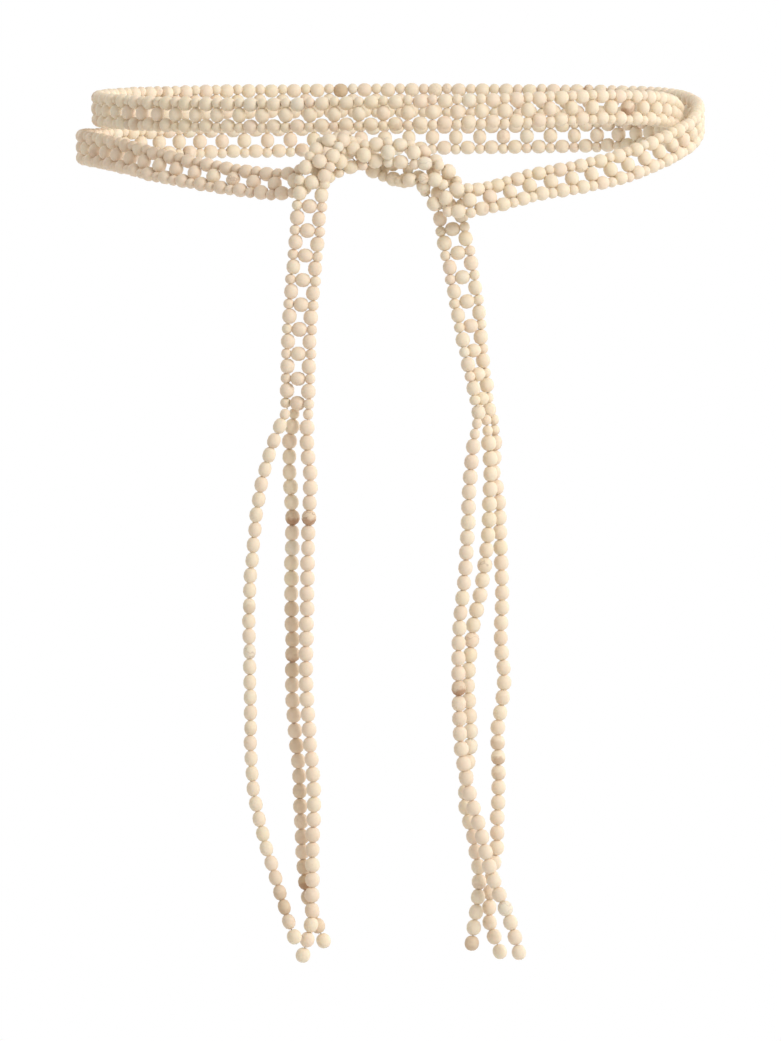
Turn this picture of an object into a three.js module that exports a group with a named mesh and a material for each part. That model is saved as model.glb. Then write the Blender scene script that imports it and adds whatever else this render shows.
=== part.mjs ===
// Beaded belt: one long woven band of stone beads, three rows wide, wound twice round the waist, tied in
// a loose half knot at the front, with two hanging tails that each end in three strings of beads.
// Millimetres, +Z up, +X to the right and -Y to the front. The origin is the centre of the waist hollow.

import * as THREE from 'three'

// Driving sizes
const BIG_BEAD = 5.9
const BEAD_PITCH = 9.85 // along a rail: one big bead and one small bead
const ROW_SPACING = 4.35 // from the middle row to a rail
const WINDOW_LENGTH = 4 // of the gap between two middle beads
const WAIST_WIDTH = 250 // of the hollow, measured between the band's middles
const WAIST_DEPTH = 180
const WRAP_GAP = 1.4 // between the upper and the lower wrap
const STRING_BEAD = 5.7
const SEAM = 0.4 // the gap that neighbouring pieces keep

// Sizes that follow from them
const BEAD_RADIUS = BIG_BEAD / 2
const BAND_WIDTH = 2 * (ROW_SPACING + BEAD_RADIUS)
const WRAP_STEP = BAND_WIDTH + WRAP_GAP
const HALF_WIDTH = WAIST_WIDTH / 2
const HALF_DEPTH = WAIST_DEPTH / 2

const SAMPLES_PER_POINT = 24
const FRAME_REACH = 0.6 // half the stretch that a direction along the route is measured over
const STRING_SIDES = 8
const STRING_STEPS = 17
const BEAD_SIDES = 12

// The band's route, from the end of the left tail up through the knot, twice round the waist and back
// through the knot to the end of the right tail. A row is one chosen point: x, how far it lies out in
// front of the waist's front, z, and the way the band's inner face looks.
const LEFT_TAIL_TO_FRONT = [
  { x: -35.6, out: 20, z: -110.3, face: [0.45, 1, 0] },
  { x: -35.3, out: 20, z: -98, face: [0.2, 1, 0] },
  { x: -34.7, out: 20, z: -78, face: [0, 1, 0] },
  { x: -33.2, out: 20, z: -58, face: [0, 1, 0] },
  { x: -31.8, out: 20.3, z: -43, face: [0, 1, 0] },
  { x: -30.6, out: 20.8, z: -29.5, face: [0, 1, 0] },
  { x: -28.2, out: 21.2, z: -18, face: [0, 1, 0] },
  { x: -24.5, out: 20.3, z: -8.5, face: [0, 1, -0.4] },
  { x: -19.6, out: 15, z: -0.6, face: [0, 0.1, -1] },
  { x: -14.2, out: 7.9, z: -2.5, face: [-0.2, -0.7, -0.7] },
  { x: -8, out: 6, z: -7.8, face: [0, -1, -0.1] },
  { x: -1, out: 6.6, z: -12, face: [0, -1, 0] },
  { x: 6, out: 8, z: -15.7, face: [0, -0.85, 0.5] },
  { x: 11.5, out: 10.8, z: -19.3, face: [0, -0.1, 1] },
  { x: 17, out: 13.8, z: -22.5, face: [0, 0.8, 0.6] },
  { x: 23, out: 15.2, z: -26, face: [0, 1, 0] },
  { x: 30.5, out: 14.8, z: -27.2, face: [0, 1, -0.15] },
  { x: 38, out: 10.6, z: -26.6, face: [-0.1, 1, -0.5] },
  { x: 47, out: 5, z: -24.8, face: [-0.3, 0.9, -0.6] },
]
// A row round the waist: its angle from the right side, its reach as a share of the half width and half
// depth, its height as a share of the step between the wraps, and how far its top edge leans back.
const WRAPS = [
  { angle: 296, reach: 1.075, height: -1.34, lean: 28 },
  { angle: 306, reach: 1.05, height: -1.16, lean: 22 },
  { angle: 318, reach: 1.03, height: -0.9, lean: 16 },
  { angle: 330, reach: 1.02, height: -0.56, lean: 8 },
  { angle: 345, reach: 1.018, height: -0.19, lean: 0 },
  { angle: 360, reach: 1.016, height: 0.13, lean: 0 },
  { angle: 379, reach: 1.065, height: 0.32, lean: 0 },
  { angle: 396, reach: 1.16, height: 0.45, lean: 0 },
  { angle: 409, reach: 1.2, height: 0.5, lean: 0 },
  { angle: 424, reach: 1.094, height: 0.52, lean: 0 },
  { angle: 450, reach: 1, height: 0.535, lean: 0 },
  { angle: 472, reach: 1, height: 0.525, lean: 0 },
  { angle: 495, reach: 0.99, height: 0.51, lean: 0 },
  { angle: 518, reach: 0.965, height: 0.48, lean: 0 },
  { angle: 540, reach: 0.942, height: 0.45, lean: 0 },
  { angle: 562, reach: 0.95, height: 0.42, lean: 0 },
  { angle: 585, reach: 0.985, height: 0.39, lean: 0 },
  { angle: 608, reach: 1, height: 0.39, lean: 0 },
  { angle: 630, reach: 1, height: 0.46, lean: 0 },
  { angle: 652, reach: 1, height: 0.515, lean: 0 },
  { angle: 675, reach: 0.985, height: 0.57, lean: 0 },
  { angle: 697, reach: 0.96, height: 0.48, lean: 0 },
  { angle: 720, reach: 0.948, height: 0.22, lean: 0 },
  { angle: 739, reach: 0.994, height: -0.05, lean: 0 },
  { angle: 755, reach: 1.074, height: -0.23, lean: 0 },
  { angle: 768, reach: 1.112, height: -0.33, lean: 0 },
  { angle: 783, reach: 1.02, height: -0.385, lean: 0 },
  { angle: 810, reach: 0.925, height: -0.43, lean: 0 },
  { angle: 832, reach: 0.95, height: -0.48, lean: 0 },
  { angle: 855, reach: 0.985, height: -0.5, lean: 0 },
  { angle: 878, reach: 1, height: -0.53, lean: 0 },
  { angle: 900, reach: 0.992, height: -0.53, lean: 0 },
  { angle: 920, reach: 0.963, height: -0.62, lean: 10 },
  { angle: 932, reach: 0.97, height: -0.74, lean: 18 },
  { angle: 942, reach: 0.993, height: -0.86, lean: 24 },
  { angle: 952, reach: 1.023, height: -0.99, lean: 30 },
  { angle: 964, reach: 1.079, height: -1.15, lean: 32 },
]
const FRONT_TO_RIGHT_TAIL = [
  { x: -44, out: 6.5, z: -20.3, face: [0, 0.87, -0.5] },
  { x: -36, out: 11, z: -20.2, face: [0, 0.9, -0.4] },
  { x: -28, out: 13.6, z: -18.2, face: [0, 0.95, -0.3] },
  { x: -20, out: 14.4, z: -14.8, face: [0, 1, -0.15] },
  { x: -12, out: 14.8, z: -11.1, face: [0, 1, 0] },
  { x: -4, out: 14.6, z: -8.7, face: [0, 1, 0] },
  { x: 4, out: 14.4, z: -8.3, face: [0, 1, -0.1] },
  { x: 11, out: 13.6, z: -9, face: [0, 0.9, -0.5] },
  { x: 17.5, out: 11.6, z: -11.4, face: [-0.1, 0.3, -1] },
  { x: 22.4, out: 8, z: -16.7, face: [-0.5, -0.6, -0.6] },
  { x: 24.6, out: 4.7, z: -24.3, face: [-0.3, -1, -0.1] },
  { x: 25.4, out: 4.4, z: -32, face: [-0.2, -1, 0] },
  { x: 26.8, out: 5.6, z: -41, face: [-0.1, -1, 0] },
  { x: 28.8, out: 6.4, z: -50, face: [0, -1, 0] },
  { x: 32.2, out: 7, z: -68.5, face: [0.2, -1, 0] },
  { x: 34.9, out: 7, z: -88, face: [0.9, -1, 0] },
  { x: 36.9, out: 7, z: -99, face: [1.2, -1, 0] },
  { x: 39.2, out: 7, z: -114, face: [1.9, -1, 0] },
]

// The six strings: chosen points from the tail's end down to the last bead, as x, out and z.
const STRING_ROUTES = {
  left_string_1: [[-40.2, 22, -111.2], [-43, 23, -118], [-46.8, 23, -128], [-51, 22.6, -146],
    [-53.1, 22.2, -164.5], [-54.7, 22, -183.5], [-54.8, 22, -202.5], [-54.3, 22, -227.5],
    [-54.2, 22.2, -246], [-52.7, 22.8, -265], [-48.7, 23.6, -282.5], [-43.7, 24.8, -299],
    [-40.4, 25.6, -310.5], [-38, 26, -317.6]],
  left_string_2: [[-36.6, 16, -111.2], [-38.7, 15.6, -124], [-38.6, 15.2, -136], [-37.6, 14.8, -154.5],
    [-38, 14.4, -180], [-37.6, 14, -204.5], [-37.4, 13.8, -229.5], [-35, 13.6, -254],
    [-34.1, 13.4, -278.5], [-32.9, 13.2, -296.5], [-30.2, 13.2, -310.5], [-26.4, 13.4, -320.4]],
  left_string_3: [[-31.2, 21.4, -111.2], [-31.8, 21.8, -124], [-30.4, 21.8, -136], [-31.3, 21.6, -164],
    [-31.8, 21.4, -192.5], [-32.1, 21, -218], [-30.6, 20.8, -242.5], [-28.9, 20.6, -264.5],
    [-29.6, 20.4, -283.5], [-29.6, 20.2, -298.5], [-30.3, 20, -316.5], [-32.6, 20, -325.4]],
  right_string_1: [[36.3, 11.8, -115.4], [34.4, 12.2, -126.5], [33, 12.2, -145], [32.2, 12, -163.5],
    [30.8, 11.8, -182], [28.9, 11.6, -201], [28.9, 11.6, -226], [30, 12, -246.5], [32.6, 12.4, -262],
    [37.4, 12.6, -279], [41.7, 12.6, -296], [45.8, 12.4, -306.5], [49.8, 12, -317], [52.2, 11.8, -325.2]],
  right_string_2: [[39.8, 6.6, -114.6], [41.4, 5.8, -130.5], [41.4, 5.4, -143.5], [40.6, 5, -162],
    [38.3, 4.8, -180.5], [34.6, 4.6, -199], [32.7, 4.4, -222], [33.7, 4.4, -245], [32, 4.4, -257.5],
    [31.6, 4.4, -270], [34.6, 4.6, -282], [37.2, 4.8, -299], [36.4, 5, -309], [34.7, 5.2, -322]],
  right_string_3: [[43, 1.4, -114.6], [43.4, 0.4, -125], [42.9, 0, -136], [44.9, -0.4, -148],
    [45.6, -0.6, -166], [46.4, -0.8, -184], [45.8, -0.8, -203], [47.2, -0.8, -221], [44.7, -0.6, -239.5],
    [45, -0.4, -257.5], [44.5, -0.2, -276], [44.2, 0, -287], [42.2, 0.2, -299.5], [41.3, 0.4, -311.5],
    [41.6, 0.6, -318.5], [44.4, 0.8, -326]],
}

// The pieces of the band in the order of the route. A piece ends at its last row, and a pierced one has
// its windows.
const BAND_PIECES = [
  { name: 'left_tail_band', to: ['knot', 5], pierced: true },
  { name: 'knot_over_strand', to: ['knot', 16], pierced: false },
  { name: 'right_front_run', to: ['wrap', 4], pierced: true },
  { name: 'outer_right_turn', to: ['wrap', 8], pierced: false },
  { name: 'upper_back_run', to: ['wrap', 13], pierced: true },
  { name: 'upper_left_turn', to: ['wrap', 15], pierced: false },
  { name: 'upper_front_run', to: ['wrap', 21], pierced: true },
  { name: 'inner_right_turn', to: ['wrap', 25], pierced: false },
  { name: 'lower_back_run', to: ['wrap', 30], pierced: true },
  { name: 'lower_left_turn', to: ['wrap', 32], pierced: false },
  { name: 'left_front_run', to: ['last', 0], pierced: true },
  { name: 'knot_under_strand', to: ['last', 12], pierced: false },
  { name: 'right_tail_band', to: ['last', 17], pierced: true },
]
const FIRST_ROW = { knot: 0, wrap: LEFT_TAIL_TO_FRONT.length, last: LEFT_TAIL_TO_FRONT.length + WRAPS.length }

const degrees = THREE.MathUtils.degToRad

function frontRow({ x, out, z, face }) {
  return { point: new THREE.Vector3(x, -(HALF_DEPTH + out), z), face: new THREE.Vector3(...face).normalize() }
}

function wrapRow({ angle, reach, height, lean }) {
  const x = HALF_WIDTH * reach * Math.cos(degrees(angle))
  const y = HALF_DEPTH * reach * Math.sin(degrees(angle))
  const face = new THREE.Vector3(-x / HALF_WIDTH ** 2, -y / HALF_DEPTH ** 2, 0).normalize()
  face.multiplyScalar(Math.cos(degrees(lean)))
  face.z = -Math.sin(degrees(lean))
  return { point: new THREE.Vector3(x, y, height * WRAP_STEP), face }
}

// The route's samples: place, face and distance along the band, from which frameAt reads.
function makeRoute() {
  const rows = [
    ...LEFT_TAIL_TO_FRONT.map(frontRow),
    ...WRAPS.map(wrapRow),
    ...FRONT_TO_RIGHT_TAIL.map(frontRow),
  ]
  const curve = new THREE.CatmullRomCurve3(rows.map((row) => row.point))
  const spans = rows.length - 1
  const samples = []
  let along = 0
  for (let i = 0; i <= spans * SAMPLES_PER_POINT; i++) {
    const index = i / SAMPLES_PER_POINT
    const before = rows[Math.floor(index)].face
    const after = rows[Math.min(spans, Math.floor(index) + 1)].face
    const point = curve.getPoint(index / spans)
    if (i > 0) along += point.distanceTo(samples[i - 1].point)
    samples.push({ point, along, face: before.clone().lerp(after, index - Math.floor(index)) })
  }
  return { samples, length: along }
}

const ROUTE = makeRoute()
const PITCH_COUNT = Math.round(ROUTE.length / BEAD_PITCH)
const PITCH = ROUTE.length / PITCH_COUNT
const RUNG_SHARE = 0.25 // where the middle beads lie in each pitch; the windows lie half a pitch on
const WINDOW_SHARE = RUNG_SHARE + 0.5

function sampleAt(along) {
  const { samples } = ROUTE
  const wanted = THREE.MathUtils.clamp(along, 0, ROUTE.length)
  let low = 0
  let high = samples.length - 1
  while (high - low > 1) {
    const middle = (low + high) >> 1
    if (samples[middle].along > wanted) high = middle
    else low = middle
  }
  const share = (wanted - samples[low].along) / (samples[high].along - samples[low].along)
  return {
    point: samples[low].point.clone().lerp(samples[high].point, share),
    face: samples[low].face.clone().lerp(samples[high].face, share),
  }
}

// A place on the route with the directions along, across and through the band.
function frameAt(along) {
  const { point, face } = sampleAt(along)
  const ahead = sampleAt(along + FRAME_REACH).point
  const tangent = ahead.sub(sampleAt(along - FRAME_REACH).point).normalize()
  const normal = face.addScaledVector(tangent, -face.dot(tangent)).normalize()
  return { point, across: normal.clone().cross(tangent), normal }
}

// The band's section as [across, through]: each rail is a hexagon, and a plate joins the two at a rung.
const CORNER = BEAD_RADIUS / 2
const FLAT = BEAD_RADIUS * Math.sin(degrees(60))
const SECTION = [
  [ROW_SPACING + BEAD_RADIUS, 0],
  [ROW_SPACING + CORNER, FLAT],
  [ROW_SPACING - CORNER, FLAT],
  [CORNER - ROW_SPACING, FLAT],
  [-CORNER - ROW_SPACING, FLAT],
  [-BEAD_RADIUS - ROW_SPACING, 0],
  [-CORNER - ROW_SPACING, -FLAT],
  [CORNER - ROW_SPACING, -FLAT],
  [ROW_SPACING - CORNER, -FLAT],
  [ROW_SPACING + CORNER, -FLAT],
  [ROW_SPACING - BEAD_RADIUS, 0],
  [BEAD_RADIUS - ROW_SPACING, 0],
]
const PLATE_RING = [0, 1, 2, 3, 4, 5, 6, 7, 8, 9]
const PLAIN_RING = [0, 1, 4, 5, 6, 9]
const RAIL_RINGS = [[0, 1, 2, 10, 8, 9], [5, 6, 7, 11, 3, 4]]
const WINDOW_END = [[2, 3, 11], [2, 11, 10], [10, 11, 7], [10, 7, 8]]

// A closed solid through the stations: kinds[i] is what lies between stations i and i + 1.
function bandGeometry(stations, kinds) {
  const positions = []
  const faces = []
  for (const along of stations) {
    const { point, across, normal } = frameAt(along)
    for (const [w, n] of SECTION) {
      positions.push(...point.clone().addScaledVector(across, w).addScaledVector(normal, n).toArray())
    }
  }
  const corner = (station, index) => station * SECTION.length + index
  const side = (station, ring) => {
    ring.forEach((a, i) => {
      const b = ring[(i + 1) % ring.length]
      faces.push(corner(station, a), corner(station, b), corner(station + 1, b))
      faces.push(corner(station, a), corner(station + 1, b), corner(station + 1, a))
    })
  }
  const cap = (station, ring, forward) => {
    for (let i = 1; i < ring.length - 1; i++) {
      const pair = forward ? [ring[i], ring[i + 1]] : [ring[i + 1], ring[i]]
      faces.push(corner(station, ring[0]), corner(station, pair[0]), corner(station, pair[1]))
    }
  }
  const windowEnd = (station, forward) => {
    for (const [a, b, c] of WINDOW_END) {
      const triangle = forward ? [a, b, c] : [a, c, b]
      faces.push(...triangle.map((index) => corner(station, index)))
    }
  }
  kinds.forEach((kind, station) => {
    if (kind === 'window') {
      windowEnd(station, true)
      RAIL_RINGS.forEach((ring) => side(station, ring))
      windowEnd(station + 1, false)
    } else {
      side(station, kind === 'plain' ? PLAIN_RING : PLATE_RING)
    }
  })
  const endRing = kinds[0] === 'plain' ? PLAIN_RING : PLATE_RING
  cap(0, endRing, false)
  cap(stations.length - 1, endRing, true)
  const geometry = new THREE.BufferGeometry()
  geometry.setAttribute('position', new THREE.Float32BufferAttribute(positions, 3))
  geometry.setIndex(faces)
  geometry.computeVertexNormals()
  return geometry
}

// A pierced piece has a window in each pitch that lies wholly inside it.
function piercedGeometry(from, to) {
  const stations = [from]
  const kinds = []
  const first = Math.ceil(from / PITCH - WINDOW_SHARE)
  for (let k = first; (k + WINDOW_SHARE) * PITCH + WINDOW_LENGTH < to; k++) {
    const middle = (k + WINDOW_SHARE) * PITCH
    if (middle - WINDOW_LENGTH < from) continue
    stations.push(middle - WINDOW_LENGTH / 2, middle + WINDOW_LENGTH / 2)
    kinds.push('rung', 'window')
  }
  stations.push(to)
  kinds.push('rung')
  return bandGeometry(stations, kinds)
}

function plainGeometry(from, to, step) {
  const count = Math.ceil((to - from) / step)
  const stations = Array.from({ length: count + 1 }, (_, i) => THREE.MathUtils.lerp(from, to, i / count))
  return bandGeometry(stations, Array(count).fill('plain'))
}

function stoneMaterial(color) {
  return new THREE.MeshStandardMaterial({ color, roughness: 0.75, metalness: 0 })
}

const bandStone = stoneMaterial(0xe6d5bc)
const stringStone = stoneMaterial(0xe9dac4)
const endStone = stoneMaterial(0xe2cfb3)

function piece(name, geometry, material) {
  const mesh = new THREE.Mesh(geometry, material)
  mesh.name = name
  return mesh
}

// Piece ends lie in the middle of a rung, so no window is cut in two.
function nearestRung(along) {
  return (Math.round(along / PITCH - RUNG_SHARE) + RUNG_SHARE) * PITCH
}

function bandPieces() {
  const pieces = []
  const knotStep = PITCH / 2
  let from = 0
  BAND_PIECES.forEach(({ name, to: [table, row], pierced }, i) => {
    const rowSample = (FIRST_ROW[table] + row) * SAMPLES_PER_POINT
    const last = i === BAND_PIECES.length - 1
    const to = last ? ROUTE.length : nearestRung(ROUTE.samples[rowSample].along)
    const start = from + (i ? SEAM / 2 : 0)
    const end = to - (last ? 0 : SEAM / 2)
    const step = name.startsWith('knot') ? knotStep : PITCH
    const geometry = pierced ? piercedGeometry(start, end) : plainGeometry(start, end, step)
    pieces.push(piece(name, geometry, bandStone))
    from = to
  })
  return pieces
}

function stringCurve(rows) {
  return new THREE.CatmullRomCurve3(rows.map(([x, out, z]) => new THREE.Vector3(x, -(HALF_DEPTH + out), z)))
}

function stringTube(curve) {
  const section = new THREE.Shape()
  for (let i = 0; i < STRING_SIDES; i++) {
    const angle = (2 * Math.PI * i) / STRING_SIDES
    const x = (STRING_BEAD / 2) * Math.cos(angle)
    const y = (STRING_BEAD / 2) * Math.sin(angle)
    if (i) section.lineTo(x, y)
    else section.moveTo(x, y)
  }
  section.closePath()
  return new THREE.ExtrudeGeometry(section, { steps: STRING_STEPS, extrudePath: curve, bevelEnabled: false })
}

// A bead turned round its own hole, which runs along Y.
function beadGeometry(diameter) {
  const radius = diameter / 2
  const outline = [-90, -58, -30, 0, 30, 58, 90].map((latitude) => {
    const x = Math.abs(latitude) === 90 ? 0 : radius * Math.cos(degrees(latitude))
    return new THREE.Vector2(x, radius * Math.sin(degrees(latitude)))
  })
  return new THREE.LatheGeometry(outline, BEAD_SIDES)
}

function stringPieces() {
  const pieces = []
  for (const [name, rows] of Object.entries(STRING_ROUTES)) {
    const curve = stringCurve(rows)
    const end = curve.getPointAt(1)
    const down = curve.getTangentAt(1)
    const bead = piece(name.replace('string', 'end_bead'), beadGeometry(BIG_BEAD), endStone)
    bead.position.copy(end).addScaledVector(down, BEAD_RADIUS + SEAM)
    bead.quaternion.setFromUnitVectors(new THREE.Vector3(0, 1, 0), down)
    pieces.push(piece(name, stringTube(curve), stringStone), bead)
  }
  return pieces
}

const belt = new THREE.Group()
belt.add(...bandPieces(), ...stringPieces())

export default belt
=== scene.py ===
"""Beaded belt, wound twice round the waist: stone beads woven on thread, with strings at both tails.

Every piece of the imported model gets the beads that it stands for, on the same route, in metres.
"""

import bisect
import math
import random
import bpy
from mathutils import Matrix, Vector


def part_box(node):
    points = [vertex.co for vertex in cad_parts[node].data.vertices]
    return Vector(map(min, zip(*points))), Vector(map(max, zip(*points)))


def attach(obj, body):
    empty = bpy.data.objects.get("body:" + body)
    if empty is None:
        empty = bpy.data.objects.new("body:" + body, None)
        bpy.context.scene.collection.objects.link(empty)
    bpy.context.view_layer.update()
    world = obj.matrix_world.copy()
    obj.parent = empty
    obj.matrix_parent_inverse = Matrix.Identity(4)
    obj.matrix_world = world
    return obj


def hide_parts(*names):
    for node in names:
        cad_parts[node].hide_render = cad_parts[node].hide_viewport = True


bl_info = {
    "name": "Beaded belt",
    "version": (1, 0, 0),
    "blender": (4, 5, 0),
    "location": "3D View > Sidebar > Beaded belt",
    "description": "Strings the stone beads of a woven belt and lights them",
    "category": "Add Mesh",
}

import bpy
from bpy.props import FloatProperty, FloatVectorProperty, IntProperty, PointerProperty
from mathutils import Vector

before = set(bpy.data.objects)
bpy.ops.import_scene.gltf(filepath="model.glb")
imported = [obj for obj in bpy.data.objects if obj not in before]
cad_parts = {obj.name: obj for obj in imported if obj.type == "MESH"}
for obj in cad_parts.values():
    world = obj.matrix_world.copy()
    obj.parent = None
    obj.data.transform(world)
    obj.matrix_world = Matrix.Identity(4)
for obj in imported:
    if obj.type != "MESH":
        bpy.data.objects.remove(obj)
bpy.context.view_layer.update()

MM = 0.001

# The weave and the waist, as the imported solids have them
BEAD_PITCH = 9.85 * MM
ROW_SPACING = 4.35 * MM
OUTER_SPACING = 4.95 * MM
RUNG_SHARE = 0.25
RAIL_SHARE = 0.75
BAND_WIDTH = 14.6 * MM
WRAP_STEP = BAND_WIDTH + 1.4 * MM
HALF_WIDTH = 125 * MM
HALF_DEPTH = 90 * MM
SAMPLES_PER_POINT = 24
FRAME_REACH = 0.6 * MM

# Sides and bands of the beads' meshes, the radius of their holes and flat ends as a share of the
# diameter, and the sides of the thread
STRUNG_SIDES = 12
STRUNG_BANDS = 5
END_SIDES = 28
END_BANDS = 18
HOLE_RADIUS = 0.07
FLAT_RADIUS = 0.17
THREAD_SIDES = 6
THREAD_STUB = 0.2 * MM

# The band's route from the left tail to the front, in millimetres: x, how far out in front of the
# waist, z, and the way that the inner face looks
LEFT_TAIL_TO_FRONT = [
    (-35.6, 20, -110.3, (0.45, 1, 0)),
    (-35.3, 20, -98, (0.2, 1, 0)),
    (-34.7, 20, -78, (0, 1, 0)),
    (-33.2, 20, -58, (0, 1, 0)),
    (-31.8, 20.3, -43, (0, 1, 0)),
    (-30.6, 20.8, -29.5, (0, 1, 0)),
    (-28.2, 21.2, -18, (0, 1, 0)),
    (-24.5, 20.3, -8.5, (0, 1, -0.4)),
    (-19.6, 15, -0.6, (0, 0.1, -1)),
    (-14.2, 7.9, -2.5, (-0.2, -0.7, -0.7)),
    (-8, 6, -7.8, (0, -1, -0.1)),
    (-1, 6.6, -12, (0, -1, 0)),
    (6, 8, -15.7, (0, -0.85, 0.5)),
    (11.5, 10.8, -19.3, (0, -0.1, 1)),
    (17, 13.8, -22.5, (0, 0.8, 0.6)),
    (23, 15.2, -26, (0, 1, 0)),
    (30.5, 14.8, -27.2, (0, 1, -0.15)),
    (38, 10.6, -26.6, (-0.1, 1, -0.5)),
    (47, 5, -24.8, (-0.3, 0.9, -0.6)),
]
# Round the waist: angle from the right side in degrees, reach as a share of the half width and half
# depth, height as a share of the step between the wraps, and how far the top edge leans back
WRAPS = [
    (296, 1.075, -1.34, 28),
    (306, 1.05, -1.16, 22),
    (318, 1.03, -0.9, 16),
    (330, 1.02, -0.56, 8),
    (345, 1.018, -0.19, 0),
    (360, 1.016, 0.13, 0),
    (379, 1.065, 0.32, 0),
    (396, 1.16, 0.45, 0),
    (409, 1.2, 0.5, 0),
    (424, 1.094, 0.52, 0),
    (450, 1, 0.535, 0),
    (472, 1, 0.525, 0),
    (495, 0.99, 0.51, 0),
    (518, 0.965, 0.48, 0),
    (540, 0.942, 0.45, 0),
    (562, 0.95, 0.42, 0),
    (585, 0.985, 0.39, 0),
    (608, 1, 0.39, 0),
    (630, 1, 0.46, 0),
    (652, 1, 0.515, 0),
    (675, 0.985, 0.57, 0),
    (697, 0.96, 0.48, 0),
    (720, 0.948, 0.22, 0),
    (739, 0.994, -0.05, 0),
    (755, 1.074, -0.23, 0),
    (768, 1.112, -0.33, 0),
    (783, 1.02, -0.385, 0),
    (810, 0.925, -0.43, 0),
    (832, 0.95, -0.48, 0),
    (855, 0.985, -0.5, 0),
    (878, 1, -0.53, 0),
    (900, 0.992, -0.53, 0),
    (920, 0.963, -0.62, 10),
    (932, 0.97, -0.74, 18),
    (942, 0.993, -0.86, 24),
    (952, 1.023, -0.99, 30),
    (964, 1.079, -1.15, 32),
]
FRONT_TO_RIGHT_TAIL = [
    (-44, 6.5, -20.3, (0, 0.87, -0.5)),
    (-36, 11, -20.2, (0, 0.9, -0.4)),
    (-28, 13.6, -18.2, (0, 0.95, -0.3)),
    (-20, 14.4, -14.8, (0, 1, -0.15)),
    (-12, 14.8, -11.1, (0, 1, 0)),
    (-4, 14.6, -8.7, (0, 1, 0)),
    (4, 14.4, -8.3, (0, 1, -0.1)),
    (11, 13.6, -9, (0, 0.9, -0.5)),
    (17.5, 11.6, -11.4, (-0.1, 0.3, -1)),
    (22.4, 8, -16.7, (-0.5, -0.6, -0.6)),
    (24.6, 4.7, -24.3, (-0.3, -1, -0.1)),
    (25.4, 4.4, -32, (-0.2, -1, 0)),
    (26.8, 5.6, -41, (-0.1, -1, 0)),
    (28.8, 6.4, -50, (0, -1, 0)),
    (32.2, 7, -68.5, (0.2, -1, 0)),
    (34.9, 7, -88, (0.9, -1, 0)),
    (36.9, 7, -99, (1.2, -1, 0)),
    (39.2, 7, -114, (1.9, -1, 0)),
]
# The six strings from the tail's end down, in millimetres: x, out and z
STRING_ROUTES = {
    "left_string_1": [
        (-40.2, 22, -111.2), (-43, 23, -118), (-46.8, 23, -128), (-51, 22.6, -146),
        (-53.1, 22.2, -164.5), (-54.7, 22, -183.5), (-54.8, 22, -202.5), (-54.3, 22, -227.5),
        (-54.2, 22.2, -246), (-52.7, 22.8, -265), (-48.7, 23.6, -282.5), (-43.7, 24.8, -299),
        (-40.4, 25.6, -310.5), (-38, 26, -317.6),
    ],
    "left_string_2": [
        (-36.6, 16, -111.2), (-38.7, 15.6, -124), (-38.6, 15.2, -136), (-37.6, 14.8, -154.5),
        (-38, 14.4, -180), (-37.6, 14, -204.5), (-37.4, 13.8, -229.5), (-35, 13.6, -254),
        (-34.1, 13.4, -278.5), (-32.9, 13.2, -296.5), (-30.2, 13.2, -310.5), (-26.4, 13.4, -320.4),
    ],
    "left_string_3": [
        (-31.2, 21.4, -111.2), (-31.8, 21.8, -124), (-30.4, 21.8, -136), (-31.3, 21.6, -164),
        (-31.8, 21.4, -192.5), (-32.1, 21, -218), (-30.6, 20.8, -242.5), (-28.9, 20.6, -264.5),
        (-29.6, 20.4, -283.5), (-29.6, 20.2, -298.5), (-30.3, 20, -316.5), (-32.6, 20, -325.4),
    ],
    "right_string_1": [
        (36.3, 11.8, -115.4), (34.4, 12.2, -126.5), (33, 12.2, -145), (32.2, 12, -163.5),
        (30.8, 11.8, -182), (28.9, 11.6, -201), (28.9, 11.6, -226), (30, 12, -246.5),
        (32.6, 12.4, -262), (37.4, 12.6, -279), (41.7, 12.6, -296), (45.8, 12.4, -306.5),
        (49.8, 12, -317), (52.2, 11.8, -325.2),
    ],
    "right_string_2": [
        (39.8, 6.6, -114.6), (41.4, 5.8, -130.5), (41.4, 5.4, -143.5), (40.6, 5, -162),
        (38.3, 4.8, -180.5), (34.6, 4.6, -199), (32.7, 4.4, -222), (33.7, 4.4, -245),
        (32, 4.4, -257.5), (31.6, 4.4, -270), (34.6, 4.6, -282), (37.2, 4.8, -299),
        (36.4, 5, -309), (34.7, 5.2, -322),
    ],
    "right_string_3": [
        (43, 1.4, -114.6), (43.4, 0.4, -125), (42.9, 0, -136), (44.9, -0.4, -148),
        (45.6, -0.6, -166), (46.4, -0.8, -184), (45.8, -0.8, -203), (47.2, -0.8, -221),
        (44.7, -0.6, -239.5), (45, -0.4, -257.5), (44.5, -0.2, -276), (44.2, 0, -287),
        (42.2, 0.2, -299.5), (41.3, 0.4, -311.5), (41.6, 0.6, -318.5), (44.4, 0.8, -326),
    ],
}
# The pieces of the band in the order of the route, each with the table and row that it ends at
BAND_PIECES = [
    ("left_tail_band", "knot", 5),
    ("knot_over_strand", "knot", 16),
    ("right_front_run", "wrap", 4),
    ("outer_right_turn", "wrap", 8),
    ("upper_back_run", "wrap", 13),
    ("upper_left_turn", "wrap", 15),
    ("upper_front_run", "wrap", 21),
    ("inner_right_turn", "wrap", 25),
    ("lower_back_run", "wrap", 30),
    ("lower_left_turn", "wrap", 32),
    ("left_front_run", "last", 0),
    ("knot_under_strand", "last", 12),
    ("right_tail_band", "last", 17),
]
FIRST_ROW = {
    "knot": 0,
    "wrap": len(LEFT_TAIL_TO_FRONT),
    "last": len(LEFT_TAIL_TO_FRONT) + len(WRAPS),
}
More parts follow.
